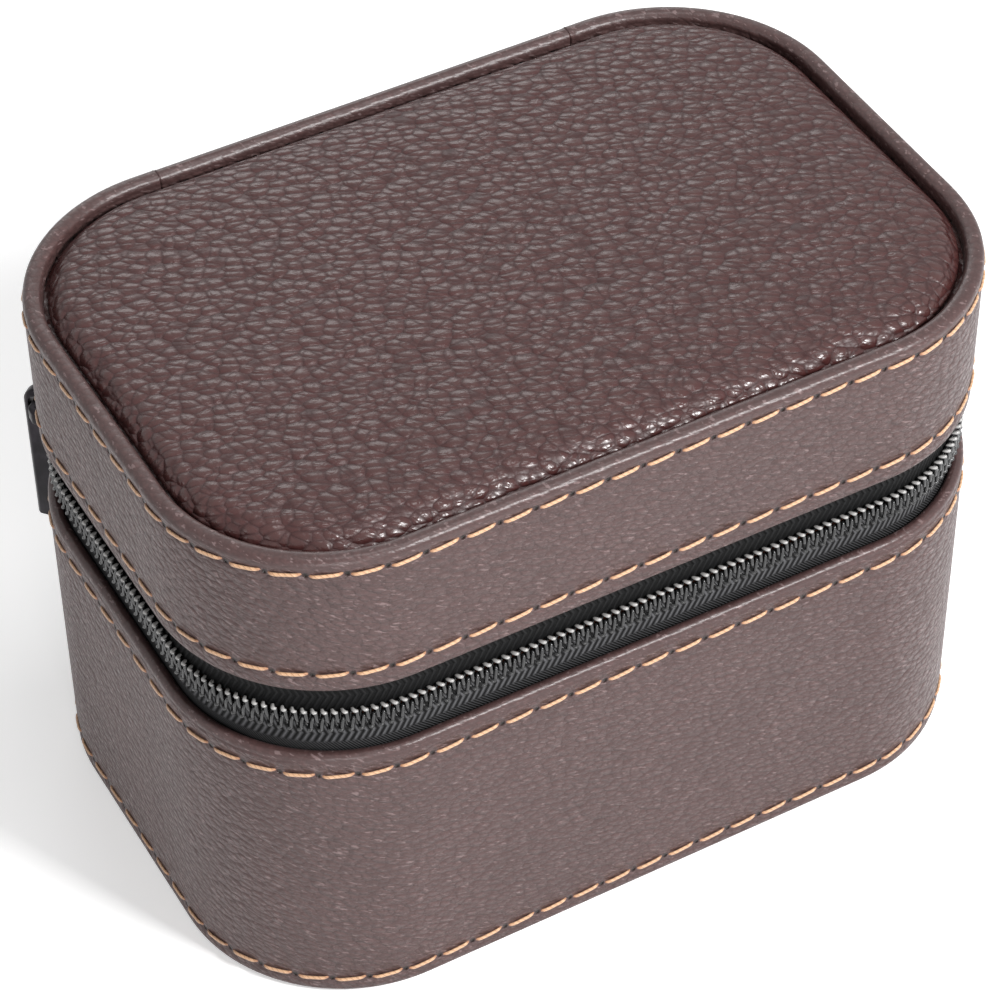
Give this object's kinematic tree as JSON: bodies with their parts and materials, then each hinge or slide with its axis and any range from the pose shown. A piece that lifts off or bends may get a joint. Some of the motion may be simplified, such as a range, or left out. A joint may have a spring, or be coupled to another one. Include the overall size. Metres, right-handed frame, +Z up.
{
  "type": "watch travel case",
  "caption": "Zipped hard-wall travel case for one wristwatch, with a padded hinged lid, suede lining and a lift-out watch pillow.",
  "frame": {"origin": "centre of the box's footprint on its rest plane, which is the underside of the bottom leather", "axes": "+Z up, long side along X, zip front at -Y and hinge at +Y"},
  "size_m": [0.118, 0.08, 0.0829],
  "materials": {
    "leather": "fine pebbled, greyed brown",
    "top_leather": "pebbled, satin dark brown",
    "suede": "napped suede",
    "ceiling_suede": "napped suede, darker",
    "zip_tape": "woven polyester tape",
    "zip_coil": "black monofilament",
    "black_metal": "black, satin",
    "board": "grey chipboard",
    "foam": "open-cell foam"
  },
  "bodies": {
    "base": {"base_floor_board": "board", "base_bottom_leather": "leather", "base_wall_board": "board", "base_band_leather": "leather", "base_floor_lining": "suede", "base_wall_foam": "foam", "base_wall_lining": "suede", "hinge_leather": "leather", "hinge_lining": "suede", "zip_gusset_left": "zip_tape", "zip_gusset_right": "zip_tape", "zip_tape_lower": "zip_tape", "zip_coil_lower": "zip_coil", "zip_coil_lower_corner": "zip_coil", "zip_end_stops": "zip_coil"},
    "lid": {"lid_wall_board": "board", "lid_top_board": "board", "lid_band_leather": "leather", "lid_ceiling_lining": "ceiling_suede", "lid_wall_foam": "foam", "lid_wall_lining": "suede", "lid_top_foam": "foam", "lid_top_leather": "top_leather", "zip_tape_upper": "zip_tape", "zip_tape_upper_corner": "zip_tape", "zip_coil_upper": "zip_coil", "zip_coil_upper_corner": "zip_coil"},
    "slider": {"slider_body": "black_metal", "slider_bridge": "black_metal"},
    "puller": {"pull_tab": "black_metal"},
    "pillow": {"pillow_foam": "foam", "pillow_cover": "suede"}
  },
  "joints": [
    {"name": "lid_hinge", "type": "hinge", "parent": "base", "child": "lid", "pos_m": [0, 0.04, 0.0531], "axis": [-1, 0, 0], "range_deg": [0, 105], "deforming": ["hinge_leather", "hinge_lining", "zip_gusset_left", "zip_gusset_right", "zip_tape_upper_corner"]},
    {"name": "slider_travel", "type": "hinge", "parent": "base", "child": "slider", "pos_m": [-0.0347, 0.0157, 0.0531], "axis": [0, 0, 1], "range_deg": [-4, 34], "deforming": ["zip_coil_lower_corner", "zip_coil_upper_corner"]},
    {"name": "puller_swing", "type": "hinge", "parent": "slider", "child": "puller", "pos_m": [-0.05273, 0.03573, 0.0531], "axis": [0.7431, 0.6691, 0], "range_deg": [0, 170]},
    {"name": "pillow_lift", "type": "slide", "parent": "base", "child": "pillow", "axis": [0, 0, 1], "range_m": [0, 0.025]}
  ]
}
